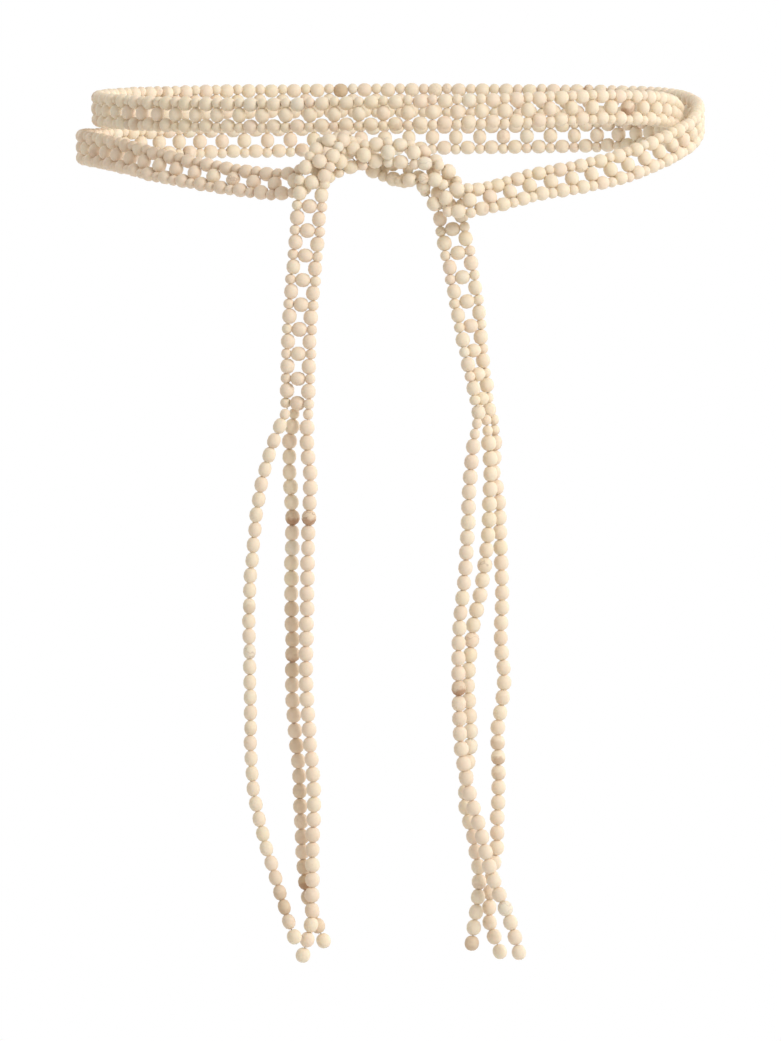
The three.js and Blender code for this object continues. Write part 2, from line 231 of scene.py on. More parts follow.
# How the band settles in the knot, from a table's row on: the moves in millimetres along x and z, and
# the share of its width that is left where it is squeezed
KNOT_SETTLING = {
    ("knot", 6): [
        (-1.2, 0, 1), (-1.2, -1.5, 0.88), (-1.5, -3, 0.78), (-1, -3, 0.76), (-1, -2.6, 0.66),
        (-1.2, -2.1, 0.6), (-1, -1.1, 0.68), (-0.4, 0.6, 0.92), (0, 0.4, 0.96),
    ],
    ("wrap", 34): [(0, -0.4, 1), (0, -0.9, 1), (0, -1.2, 1)],
    ("last", 0): [
        (0, -0.6, 1), (0, 0.6, 0.9), (0, 2.1, 0.82), (0, 2.4, 0.76), (0, 1.3, 0.76),
        (0, 0.6, 0.76), (0, 0, 0.78), (0, 0, 0.82), (0, 0, 0.88),
    ],
}
# How far a middle bead stands out where all of the band's width is squeezed away
MIDDLE_PUSH = 11 * MM
# Where the small beads that join each string to its tail lie, in millimetres from the string's start
LINK_PLACES = {
    "left_string_1": [1],
    "left_string_2": [1],
    "left_string_3": [1],
    "right_string_1": [1, 5.2],
    "right_string_2": [0.6, 4.8],
    "right_string_3": [0.6, 4.8],
}
# Beads that stand out: x and z in millimetres seen from the front, and how tan, how stained and how
# veined the bead is
MARKED_BEADS = {
    "left_string_1": [
        (-43.8, -299.3, 0.94, 0, 0), (-42.1, -305, 0.96, 0.2, 0), (-40.4, -310.6, 0.98, 0.3, 0),
        (-38.7, -315.7, 0.94, 0, 0),
    ],
    "left_string_2": [
        (-37.6, -154.6, 0.97, 1, 0.3), (-37.4, -210.8, 0.96, 0.7, 0), (-33, -303, 1, 0.8, 0),
    ],
    "left_string_3": [(-30.4, -155, 0.95, 0.9, 1)],
    "right_string_1": [(28.4, -219.8, 0.96, 1, 0.6), (48.6, -311.2, 0.03, 0, 0.4)],
    "right_string_3": [(45.2, -251.4, 0.5, 0.6, 0)],
    "right_end_bead_2": [(34, -325, 0.97, 0.2, 0)],
    "upper_back_run": [(-19, 16.8, 1, 0.2, 0), (84, 12, 0.95, 0.9, 0.3)],
    "upper_front_run": [(95, 8, 0.95, 0.8, 0.6)],
}
# The tint that most beads of a piece come near: 0.5 is cream and 0.75 to 0.92 pinkish. The pinker lots
# are partly the stones' own tint and partly painted shade, most on the left-hand pieces, which are
# turned from the light
LOT_TINTS_AND_SHADE = {
    "left_tail_band": 0.72,
    "left_string_3": 0.85,
    "right_string_1": 0.68,
    "right_string_3": 0.65,
    "left_front_run": 0.85,
    "lower_left_turn": 0.85,
}
CREAM = 0.5
DEEPEST_CREAM = 0.93
TINT_SPREAD = 0.42
# The height in millimetres below which a string is a tanner lot of beads, and the tints of that lot:
# partly tanner stone, partly painted shade for the string that hangs behind the others
SHADED_TAN_BELOW = {"left_string_2": -185}
SHADED_TAN_LOT = 0.915
SHADED_TAN_SPREAD = 0.055
# The share of beads without a stain or a vein, and how strong either is on the others
UNSTAINED = 0.95
UNVEINED = 0.96
STAIN_RANGE = (0.1, 0.4)
VEIN_RANGE = (0.2, 0.6)
# The share of the usual width that a string's beads have
SLIM_STRINGS = {"left_string_1": 0.9}

# The stone's pattern: features a metre, and how strongly each shows
LUMPS_PER_METRE = 260.0
CLOUDS_PER_METRE = 330.0
SPECKS_PER_METRE = 1500.0
VEINS_PER_METRE = 210.0
STAINS_PER_METRE = 170.0
CLOUD_STRENGTH = 0.45
CLOUD_SHADE = 0.93
SPECK_FROM = 0.58
SPECK_STRENGTH = 0.9
VEIN_SHARPNESS = 42.0
VEIN_STRENGTH = 0.6
STAIN_FROM = 0.5
STAIN_TO = 0.62
STAIN_LEAN = 0.5
STAIN_STRENGTH = 0.75
STAIN_SHADE = 1.6
# Painted shade: the flat ends and the bore of each bead, where the beads touch, are darkened towards tan
PAINTED_HOLE_FALLOFF = 1.6
PAINTED_HOLE_STRENGTH = 0.35
PAINTED_HOLE_SHADE = 0.8
TWISTS_PER_METRE = 700.0
THREAD_SHADE = 0.6
ROUGHNESS_LOSS = 0.1
ROUGHNESS_GAIN = 0.16

# The soft lights: name, place in metres and size
LIGHTS = [
    ("key", (2.7, -2.1, 2), 1.8),
    ("fill", (-3, -2, 0.8), 1.8),
    ("edge", (2.6, 1.6, 0.9), 1.4),
    ("back", (-1.8, 2.8, 1.4), 1.8),
]
LIT_POINT = Vector((0, 0, -0.15))
WARM_WHITE = (1, 0.975, 0.93)
FLOOR_SIDES = 96
FLOOR_SHADE = 0.97

PHOTO_WIDTH = 781
PHOTO_HEIGHT = 1041
FOCAL_PIXELS = 11025
SENSOR = 36.0


class BeadSizes(bpy.types.PropertyGroup):
    """Sizes of the beads and how unlike each other they are"""

    big_bead: FloatProperty(
        name="Big bead", description="Diameter of a woven band's big bead",
        default=5.85 * MM, unit="LENGTH", precision=5,
    )
    small_bead: FloatProperty(
        name="Small bead", description="Diameter of a rail's small bead",
        default=4.4 * MM, unit="LENGTH", precision=5,
    )
    string_bead: FloatProperty(
        name="String bead", description="Diameter of a bead of the hanging strings",
        default=6 * MM, unit="LENGTH", precision=5,
    )
    string_pitch: FloatProperty(
        name="String pitch", description="From one bead of a string to the next",
        default=6.12 * MM, unit="LENGTH", precision=5,
    )
    link_bead: FloatProperty(
        name="Link bead", description="Diameter of the small beads between a tail and its strings",
        default=4.2 * MM, unit="LENGTH", precision=5,
    )
    spread: FloatProperty(
        name="Spread", description="How far bead sizes differ, as a share",
        default=0.035, subtype="FACTOR", min=0, max=0.2,
    )
    looseness: FloatProperty(
        name="Looseness", description="How far a bead strays from its place in the weave",
        default=0.11 * MM, unit="LENGTH", precision=5,
    )
    lumps: FloatProperty(
        name="Lumps", description="Height of the uneven grinding on a bead",
        default=0.18 * MM, unit="LENGTH", precision=5,
    )
    fullness: FloatProperty(
        name="Fullness", description="How square a bead's outline is: 2 is a ball, more is a barrel",
        default=2.15, min=2, max=6,
    )
    upright: FloatProperty(
        name="Upright", description="How far the rails slide along each other where the band climbs",
        default=1.6, min=0, max=3,
    )
    seed: IntProperty(name="Seed", description="Picks the lot of beads", default=7, min=0)


class StoneColours(bpy.types.PropertyGroup):
    """Colours and finish of the stone"""

    pale: FloatVectorProperty(
        name="Pale", description="The greyish white stones",
        default=(0.82, 0.745, 0.61), subtype="COLOR", min=0, max=1,
    )
    cream: FloatVectorProperty(
        name="Cream", description="The stone that most beads are cut from",
        default=(0.84, 0.724, 0.556), subtype="COLOR", min=0, max=1,
    )
    butter: FloatVectorProperty(
        name="Butter", description="The yellower cream stones",
        default=(0.82, 0.71, 0.518), subtype="COLOR", min=0, max=1,
    )
    blush: FloatVectorProperty(
        name="Blush", description="The pinkish stones",
        default=(0.83, 0.686, 0.537), subtype="COLOR", min=0, max=1,
    )
    tan: FloatVectorProperty(
        name="Tan", description="The darkest stones",
        default=(0.58, 0.43, 0.265), subtype="COLOR", min=0, max=1,
    )
    rust: FloatVectorProperty(
        name="Rust", description="Stains and veins",
        default=(0.24, 0.12, 0.06), subtype="COLOR", min=0, max=1,
    )
    roughness: FloatProperty(
        name="Roughness", description="Roughness of the matte polish",
        default=0.58, subtype="FACTOR", min=0, max=1,
    )


class ThreadLook(bpy.types.PropertyGroup):
    """The thread that the beads are strung on"""

    width: FloatProperty(
        name="Width", description="Diameter of the thread",
        default=0.5 * MM, unit="LENGTH", precision=5,
    )
    colour: FloatVectorProperty(
        name="Colour", description="Colour of the waxed thread",
        default=(0.7, 0.56, 0.4), subtype="COLOR", min=0, max=1,
    )


class StudioLook(bpy.types.PropertyGroup):
    """Floor, light and backdrop"""

    floor_drop: FloatProperty(
        name="Floor drop", description="From the waist down to the floor",
        default=1, unit="LENGTH",
    )
    floor_reach: FloatProperty(
        name="Floor reach", description="Radius of the floor", default=5.5, unit="LENGTH",
    )
    floor_colour: FloatVectorProperty(
        name="Floor colour", description="Colour of the floor",
        default=(0.86, 0.86, 0.86), subtype="COLOR", min=0, max=1,
    )
    floor_glow: FloatProperty(
        name="Floor glow", description="Whitens the floor as it is seen, without lighting the belt",
        default=0.55, min=0,
    )
    room_light: FloatProperty(
        name="Room light", description="Strength of the even light of the room", default=0.64, min=0,
    )
    key_power: FloatProperty(
        name="Key power", description="Power of the large soft light at the upper right",
        default=88, unit="POWER",
    )
    fill_power: FloatProperty(
        name="Fill power", description="Power of the weaker soft light at the left",
        default=1, unit="POWER",
    )
    edge_power: FloatProperty(
        name="Edge power", description="Power of the soft light behind at the right",
        default=26, unit="POWER",
    )
    back_power: FloatProperty(
        name="Back power", description="Power of the soft light behind at the left",
        default=24, unit="POWER",
    )


def smooth_curve(chosen):
    """Points on the centripetal curve through the chosen points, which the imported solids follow."""
    outer = [2 * chosen[0] - chosen[1], *chosen, 2 * chosen[-1] - chosen[-2]]
    curve = []
    for p0, p1, p2, p3 in zip(outer, outer[1:], outer[2:], outer[3:]):
        d0 = math.sqrt((p1 - p0).length)
        d1 = math.sqrt((p2 - p1).length)
        d2 = math.sqrt((p3 - p2).length)
        out = ((p1 - p0) / d0 - (p2 - p0) / (d0 + d1) + (p2 - p1) / d1) * d1
        into = ((p2 - p1) / d1 - (p3 - p1) / (d1 + d2) + (p3 - p2) / d2) * d1
        square = -3 * p1 + 3 * p2 - 2 * out - into
        cube = 2 * p1 - 2 * p2 + out + into
        for step in range(SAMPLES_PER_POINT):
            t = step / SAMPLES_PER_POINT
            curve.append(p1 + out * t + square * t**2 + cube * t**3)
    return [*curve, chosen[-1]]


class Route:
    """Places by their distance along a smooth curve."""

    def __init__(self, chosen, faces=None):
        self.points = smooth_curve(chosen)
        self.along = [0.0]
        for before, after in zip(self.points, self.points[1:]):
            self.along.append(self.along[-1] + (after - before).length)
        self.length = self.along[-1]
        self.faces = faces
        self.moves = {}
        self.widths = {}

    def span(self, along):
        """The sample before a distance, and how far on towards the next one it lies."""
        wanted = min(max(along, 0), self.length)
        low = min(bisect.bisect_right(self.along, wanted), len(self.along) - 1) - 1
        return low, (wanted - self.along[low]) / (self.along[low + 1] - self.along[low])

    def by_row(self, values, along, usual):
        """What a sparse table of rows says at a distance, between its rows too."""
        low, share = self.span(along)
        row = (low + share) / SAMPLES_PER_POINT
        before = values.get(int(row), usual)
        after = values.get(int(row) + 1, usual)
        return before + (after - before) * (row - int(row))

    def point(self, along):
        low, share = self.span(along)
        place = self.points[low].lerp(self.points[low + 1], share)
        return place + self.by_row(self.moves, along, Vector()) if self.moves else place

    def width(self, along):
        """The share of its width that the band keeps."""
        return self.by_row(self.widths, along, 1.0)

    def tangent(self, along):
        return (self.point(along + FRAME_REACH) - self.point(along - FRAME_REACH)).normalized()

    def normal(self, along):
        """The way that the band's inner face looks."""
        low, share = self.span(along)
        row = (low + share) / SAMPLES_PER_POINT
        before = self.faces[int(row)]
        after = self.faces[min(int(row) + 1, len(self.faces) - 1)]
        face = before.lerp(after, row - int(row))
        tangent = self.tangent(along)
        return (face - face.dot(tangent) * tangent).normalized()

    def across(self, along):
        """The way from the band's middle row to its second rail."""
        return self.normal(along).cross(self.tangent(along))


def front_place(x, out, z):
    return Vector((x * MM, -(HALF_DEPTH + out * MM), z * MM))


def wrap_place(angle, reach, height):
    x = HALF_WIDTH * reach * math.cos(math.radians(angle))
    y = HALF_DEPTH * reach * math.sin(math.radians(angle))
    return Vector((x, y, height * WRAP_STEP))


def wrap_face(angle, lean):
    """Into the waist, level, and then tipped by the lean."""
    inward = Vector((
        -math.cos(math.radians(angle)) / HALF_WIDTH,
        -math.sin(math.radians(angle)) / HALF_DEPTH,
        0,
    )).normalized()
    inward *= math.cos(math.radians(lean))
    inward.z = -math.sin(math.radians(lean))
    return inward


def band_route():
    chosen = [front_place(x, out, z) for x, out, z, _ in LEFT_TAIL_TO_FRONT]
    chosen += [wrap_place(angle, reach, height) for angle, reach, height, _ in WRAPS]
    chosen += [front_place(x, out, z) for x, out, z, _ in FRONT_TO_RIGHT_TAIL]
    faces = [Vector(face).normalized() for *_, face in LEFT_TAIL_TO_FRONT]
    faces += [wrap_face(angle, lean) for angle, _, _, lean in WRAPS]
    faces += [Vector(face).normalized() for *_, face in FRONT_TO_RIGHT_TAIL]
    route = Route(chosen, faces)
    for (table, first), rows in KNOT_SETTLING.items():
        for row, (x, z, width) in enumerate(rows, FIRST_ROW[table] + first):
            route.moves[row] = Vector((x, 0, z)) * MM
            route.widths[row] = width
    return route


def string_route(name):
    return Route([front_place(*place) for place in STRING_ROUTES[name]])


class Strand:
    """The beads of one piece: place, hole, size and stone of each, with the threads between them."""

    TILT = math.radians(4.5)
    GRAIN_RANGE = 40

    def __init__(self, name, sizes):
        self.name = name
        self.sizes = sizes
        self.shaded_tan_below = SHADED_TAN_BELOW.get(name, -math.inf) * MM
        self.usual_tint_and_shade = LOT_TINTS_AND_SHADE.get(name, CREAM)
        self.lot = random.Random(f"{name} {sizes.seed}")
        self.beads = []
        self.threads = []

    def stray(self, amount):
        return Vector([self.lot.uniform(-amount, amount) for _ in range(3)])

    def add(self, centre, hole, across, length):
        """Adds a bead and returns its number."""
        spread = self.sizes.spread
        bead = {
            "centre": centre + self.stray(self.sizes.looseness),
            "hole": (hole + self.stray(math.tan(self.TILT))).normalized(),
            "size": Vector((
                across * self.lot.uniform(1 - spread, 1 + spread),
                across * self.lot.uniform(1 - spread, 1 + spread),
                length * self.lot.uniform(1, 1 + spread / 3),
            )),
            "tint": self.tint_at(centre),
            "stain": self.lot.uniform(*STAIN_RANGE) if self.lot.random() > UNSTAINED else 0.0,
            "vein": self.lot.uniform(*VEIN_RANGE) if self.lot.random() > UNVEINED else 0.0,
            "grain": self.lot.uniform(0, self.GRAIN_RANGE),
        }
        self.beads.append(bead)
        return len(self.beads) - 1

    def tint_at(self, place):
        """Most stones come near their lot's tint, few near the ends of its range."""
        share = self.lot.random()
        # Below that height the string hangs behind the others: its tanner lot is partly painted shade
        if place.z < self.shaded_tan_below:
            return SHADED_TAN_LOT + SHADED_TAN_SPREAD * share
        return min(self.usual_tint_and_shade + TINT_SPREAD * (2 * share - 1) ** 3, DEEPEST_CREAM)

    def bare(self, place):
        """A place that the thread passes, with no bead on it."""
        self.beads.append({
            "centre": place, "hole": Vector((0, 0, 1)), "size": Vector((0, 0, 0)),
            "tint": CREAM, "stain": 0.0, "vein": 0.0, "grain": 0.0,
        })
        return len(self.beads) - 1

    def tie(self, first, second):
        self.threads.append((first, second))

    def mark(self):
        """Gives the stones that stand out their own look."""
        for x, z, tint, stain, vein in MARKED_BEADS.get(self.name, ()):
            place = Vector((x * MM, z * MM))
            nearest = min(self.beads, key=lambda bead: (bead["centre"].xz - place).length)
            nearest.update(tint=tint, stain=stain, vein=vein)

    def mesh(self):
        """The beads as points, the threads as edges, and all that the tree needs as attributes."""
        mesh = bpy.data.meshes.new(self.name)
        mesh.from_pydata([bead["centre"] for bead in self.beads], self.threads, [])
        for key in ("hole", "size"):
            layer = mesh.attributes.new(key, "FLOAT_VECTOR", "POINT")
            layer.data.foreach_set("vector", [c for bead in self.beads for c in bead[key]])
        for key in ("tint", "stain", "vein", "grain"):
            layer = mesh.attributes.new(key, "FLOAT", "POINT")
            layer.data.foreach_set("value", [bead[key] for bead in self.beads])
        return mesh


class Rail:
    """One edge row of a band, which skips a bead where a tight bend leaves no room for it."""

    CROWDING = 0.68
    # How upright a band has to stand for its rails to slide, and over which range that sets in
    STANDS_FROM = 0.7
    STANDS_RANGE = 0.2

    def __init__(self, strand, route, side):
        self.strand = strand
        self.route = route
        self.side = side
        self.last = None
        self.last_length = 0.0
        self.last_place = None

    def place(self, along, spacing=ROW_SPACING):
        """A place on the rail, slid along so that the rungs stand upright where the band climbs."""
        across = self.route.across(along)
        tangent = self.route.tangent(along)
        standing = min(max((abs(across.z) - self.STANDS_FROM) / self.STANDS_RANGE, 0), 1)
        climb = tangent.z / across.z if standing else 0
        slide = self.strand.sizes.upright * climb * standing * tangent
        aside = self.side * spacing * self.route.width(along)
        return self.route.point(along) + aside * (across + slide)

    def start(self, along):
        self.last = self.strand.bare(self.place(along))
        self.last_place = None

    def bead(self, along, size, length, spacing):
        """Adds a bead and returns its number, or that of the one that it would run into."""
        place = self.place(along, spacing)
        if self.last_place is not None:
            room = (place - self.last_place).length
            if room < self.CROWDING * (length + self.last_length) / 2:
                return self.last
        reach = length / 2
        hole = (self.place(along + reach, spacing) - self.place(along - reach, spacing)).normalized()
        number = self.strand.add(place, hole, size, length)
        self.strand.tie(self.last, number)
        self.last = number
        self.last_length = length
        self.last_place = place
        return number

    def end(self, along):
        self.strand.tie(self.last, self.strand.bare(self.place(along)))


def middle_place(route, along):
    """Where the band is squeezed, its middle beads stand out on the outer side of the rails."""
    return route.point(along) - MIDDLE_PUSH * (1 - route.width(along)) * route.normal(along)


def weave(strand, route, pitch, start, end):
    """The woven band between two distances: two rails, and a middle bead in every rung."""
    sizes = strand.sizes
    rails = [Rail(strand, route, side) for side in (-1, 1)]
    for rail in rails:
        rail.start(start)
    first = math.floor(start / pitch) - 1
    last = math.ceil(end / pitch) + 1
    margin = pitch / 100
    gap = pitch - sizes.big_bead
    for k in range(first, last):
        rung = (k + RUNG_SHARE) * pitch
        if start + margin < rung <= end + margin:
            near, far = [rail.bead(rung, sizes.small_bead, gap, OUTER_SPACING) for rail in rails]
            middle = strand.add(
                middle_place(route, rung), route.across(rung), sizes.big_bead, sizes.big_bead,
            )
            strand.tie(near, middle)
            strand.tie(middle, far)
        between = (k + RAIL_SHARE) * pitch
        if start + margin < between <= end + margin:
            for rail in rails:
                rail.bead(between, sizes.big_bead, sizes.big_bead, ROW_SPACING)
    for rail in rails:
        rail.end(end)


def hang(strand, route):
    """A hanging string: its small joining beads, and then one bead after another to the end."""
    sizes = strand.sizes
    last = strand.bare(route.point(0))
    along = 0.0
    for place in LINK_PLACES[strand.name]:
        along = place * MM
        number = strand.add(route.point(along), route.tangent(along), sizes.link_bead, sizes.link_bead)
        strand.tie(last, number)
        last = number
    first = along + (sizes.link_bead + sizes.string_pitch) / 2
    width = sizes.string_bead * SLIM_STRINGS.get(strand.name, 1)
    reach = route.length - sizes.string_pitch / 2 - first
    count = round(reach / sizes.string_pitch)
    for i in range(count + 1):
        along = first + reach * i / count
        tangent = route.tangent(along)
        number = strand.add(route.point(along), tangent, width, reach / count)
        strand.tie(last, number)
        last = number
    strand.tie(last, strand.bare(route.point(route.length)))


def drilled_bead(name, sides, bands, fullness):
    """A bead of diameter 1 with flat ends, turned round the hole that is drilled along Z."""
    top = math.acos((2 * FLAT_RADIUS) ** (fullness / 2))
    outline = [(HOLE_RADIUS, -0.5)]
    for i in range(bands + 1):
        latitude = -top + 2 * top * i / bands
        height = math.copysign((abs(math.sin(latitude)) / math.sin(top)) ** (2 / fullness), latitude)
        outline.append((0.5 * math.cos(latitude) ** (2 / fullness), 0.5 * height))
    outline.append((HOLE_RADIUS, 0.5))
    turns = [2 * math.pi * side / sides for side in range(sides)]
    vertices = [(r * math.cos(turn), r * math.sin(turn), z) for r, z in outline for turn in turns]
    rings = len(outline)
    faces = []
    for ring in range(rings):
        upper = (ring + 1) % rings
        for side in range(sides):
            after = (side + 1) % sides
            faces.append((
                ring * sides + side, ring * sides + after, upper * sides + after, upper * sides + side,
            ))
    mesh = bpy.data.meshes.new(name)
    mesh.from_pydata(vertices, [], faces)
    mesh.polygons.foreach_set("use_smooth", [True] * len(faces))
    for edge in mesh.edges:
        edge.use_edge_sharp = all(vertex // sides in (0, rings - 1) for vertex in edge.vertices)
    at_hole = [1.0 if i // sides in (0, rings - 1) else 0.0 for i in range(len(vertices))]
    levels = [z for _, _, z in vertices]
    for key, values in (("rim", at_hole), ("level", levels)):
        mesh.attributes.new(key, "FLOAT", "POINT").data.foreach_set("value", values)
    bead = bpy.data.objects.new(name, mesh)
    bpy.context.scene.collection.objects.link(bead)
    return bead


def add_node(tree, kind, settings=None, **inputs):
    """A node with its settings, and values or other nodes' sockets for its named inputs."""
    node = tree.nodes.new(kind)
    for key, value in (settings or {}).items():
        setattr(node, key, value)
    for key, value in inputs.items():
        socket = node.inputs[key.replace("_", " ")]
        if isinstance(value, bpy.types.NodeSocket):
            tree.links.new(value, socket)
        else:
            socket.default_value = value
    return node


def named(tree, name, data_type="FLOAT"):
    node = add_node(tree, "GeometryNodeInputNamedAttribute", {"data_type": data_type}, Name=name)
    return node.outputs["Attribute"]


STRINGING_INPUTS = [
    ("Geometry", "NodeSocketGeometry"),
    ("Drilled Bead", "NodeSocketObject"),
    ("Stone", "NodeSocketMaterial"),
    ("Thread", "NodeSocketMaterial"),
    ("Thread Width", "NodeSocketFloat"),
    ("Lump Height", "NodeSocketFloat"),
    ("Lumps per Metre", "NodeSocketFloat"),
    ("Seed", "NodeSocketInt"),
]


def stringing_tree():
    """Puts a drilled bead on every point and a thread along every edge."""
    tree = bpy.data.node_groups.new("Strung beads", "GeometryNodeTree")
    for name, kind in STRINGING_INPUTS:
        tree.interface.new_socket(name, in_out="INPUT", socket_type=kind)
    tree.interface.new_socket("Geometry", in_out="OUTPUT", socket_type="NodeSocketGeometry")
    given = tree.nodes.new("NodeGroupInput").outputs

    size = named(tree, "size", "FLOAT_VECTOR")
    has_bead = add_node(
        tree, "FunctionNodeCompare", {"data_type": "FLOAT", "operation": "GREATER_THAN"},
        A=add_node(tree, "ShaderNodeVectorMath", {"operation": "LENGTH"}, Vector=size).outputs["Value"],
    )
    along_hole = add_node(
        tree, "FunctionNodeAlignRotationToVector", {"axis": "Z"},
        Vector=named(tree, "hole", "FLOAT_VECTOR"),
    )
    turn = add_node(tree, "FunctionNodeRandomValue", {"data_type": "FLOAT"}, Seed=given["Seed"])
    turn.inputs[3].default_value = 2 * math.pi
    round_hole = add_node(
        tree, "FunctionNodeAxisAngleToRotation", Axis=(0, 0, 1), Angle=turn.outputs[1],
    )
    rotation = add_node(
        tree, "FunctionNodeRotateRotation", {"rotation_space": "LOCAL"},
        Rotation=along_hole.outputs["Rotation"], Rotate_By=round_hole.outputs["Rotation"],
    )
    bead = add_node(tree, "GeometryNodeObjectInfo", Object=given["Drilled Bead"], As_Instance=True)
    beads = add_node(
        tree, "GeometryNodeInstanceOnPoints", Points=given["Geometry"],
        Selection=has_bead.outputs["Result"], Instance=bead.outputs["Geometry"],
        Rotation=rotation.outputs["Rotation"], Scale=size,
    )

    section = add_node(
        tree, "GeometryNodeCurvePrimitiveCircle", Resolution=THREAD_SIDES,
        Radius=calculate(tree, "DIVIDE", given["Thread Width"], 2.0),
    )
    paths = add_node(tree, "GeometryNodeMeshToCurve", Mesh=given["Geometry"])
    threads = add_node(
        tree, "GeometryNodeCurveToMesh", Curve=paths.outputs["Curve"],
        Profile_Curve=section.outputs["Curve"], Fill_Caps=True,
    )
    told_apart = add_node(
        tree, "GeometryNodeStoreNamedAttribute", {"data_type": "FLOAT", "domain": "POINT"},
        Geometry=threads.outputs["Mesh"], Name="thread", Value=1.0,
    )
    both = tree.nodes.new("GeometryNodeJoinGeometry")
    tree.links.new(beads.outputs["Instances"], both.inputs[0])
    tree.links.new(told_apart.outputs["Geometry"], both.inputs[0])

    real = add_node(tree, "GeometryNodeRealizeInstances", Geometry=both.outputs["Geometry"])
    is_thread = named(tree, "thread")
    lumps = add_node(
        tree, "ShaderNodeTexNoise", {"noise_dimensions": "4D"},
        Vector=tree.nodes.new("GeometryNodeInputPosition").outputs["Position"],
        W=named(tree, "grain"), Scale=given["Lumps per Metre"], Detail=1.0,
    )
    height = calculate(
        tree, "MULTIPLY", calculate(tree, "SUBTRACT", lumps.outputs[0], 0.5), given["Lump Height"],
    )
    offset = add_node(
        tree, "ShaderNodeVectorMath", {"operation": "SCALE"},
        Vector=tree.nodes.new("GeometryNodeInputNormal").outputs["Normal"],
        Scale=calculate(tree, "MULTIPLY", height, calculate(tree, "SUBTRACT", 1.0, is_thread)),
    )
    ground = add_node(
        tree, "GeometryNodeSetPosition", Geometry=real.outputs["Geometry"],
        Offset=offset.outputs["Vector"],
    )
    smooth = add_node(tree, "GeometryNodeSetShadeSmooth", Geometry=ground.outputs["Geometry"])
    stone = add_node(
        tree, "GeometryNodeSetMaterial", Geometry=smooth.outputs["Geometry"], Material=given["Stone"],
    )
    finished = add_node(
        tree, "GeometryNodeSetMaterial", Geometry=stone.outputs["Geometry"],
        Material=given["Thread"],
    )
    thread_only = add_node(
        tree, "FunctionNodeCompare", {"data_type": "FLOAT", "operation": "GREATER_THAN"}, A=is_thread,
    )
    tree.links.new(thread_only.outputs["Result"], finished.inputs["Selection"])
    result = tree.nodes.new("NodeGroupOutput")
    tree.links.new(finished.outputs["Geometry"], result.inputs["Geometry"])
    return tree


def shader(material):
    """The material's node tree and its surface shader."""
    material.use_nodes = True
    return material.node_tree, material.node_tree.nodes["Principled BSDF"]


def blend_colours(tree, factor, first, second):
    """Mixes two colours, each a socket or a plain colour, through the node's sockets for colours."""
    mix = add_node(tree, "ShaderNodeMix", {"data_type": "RGBA"})
    for socket, value in ((mix.inputs[0], factor), (mix.inputs[6], first), (mix.inputs[7], second)):
        if isinstance(value, bpy.types.NodeSocket):
            tree.links.new(value, socket)
        else:
            socket.default_value = value
    return mix.outputs[2]


def calculate(tree, operation, first, second, clamp=False):
    node = add_node(tree, "ShaderNodeMath", {"operation": operation, "use_clamp": clamp})
    for socket, value in zip(node.inputs, (first, second)):
        if isinstance(value, bpy.types.NodeSocket):
            tree.links.new(value, socket)
        else:
            socket.default_value = value
    return node.outputs["Value"]


def bead_value(tree, name):
    return add_node(tree, "ShaderNodeAttribute", {"attribute_name": name}).outputs["Fac"]


def grain_noise(tree, place, grain, scale, detail):
    """Noise that starts afresh on every bead."""
    noise = add_node(
        tree, "ShaderNodeTexNoise", {"noise_dimensions": "4D"},
        Vector=place, W=grain, Scale=scale, Detail=detail,
    )
    return noise.outputs[0]


def opaque(colour):
    return (*colour, 1.0)


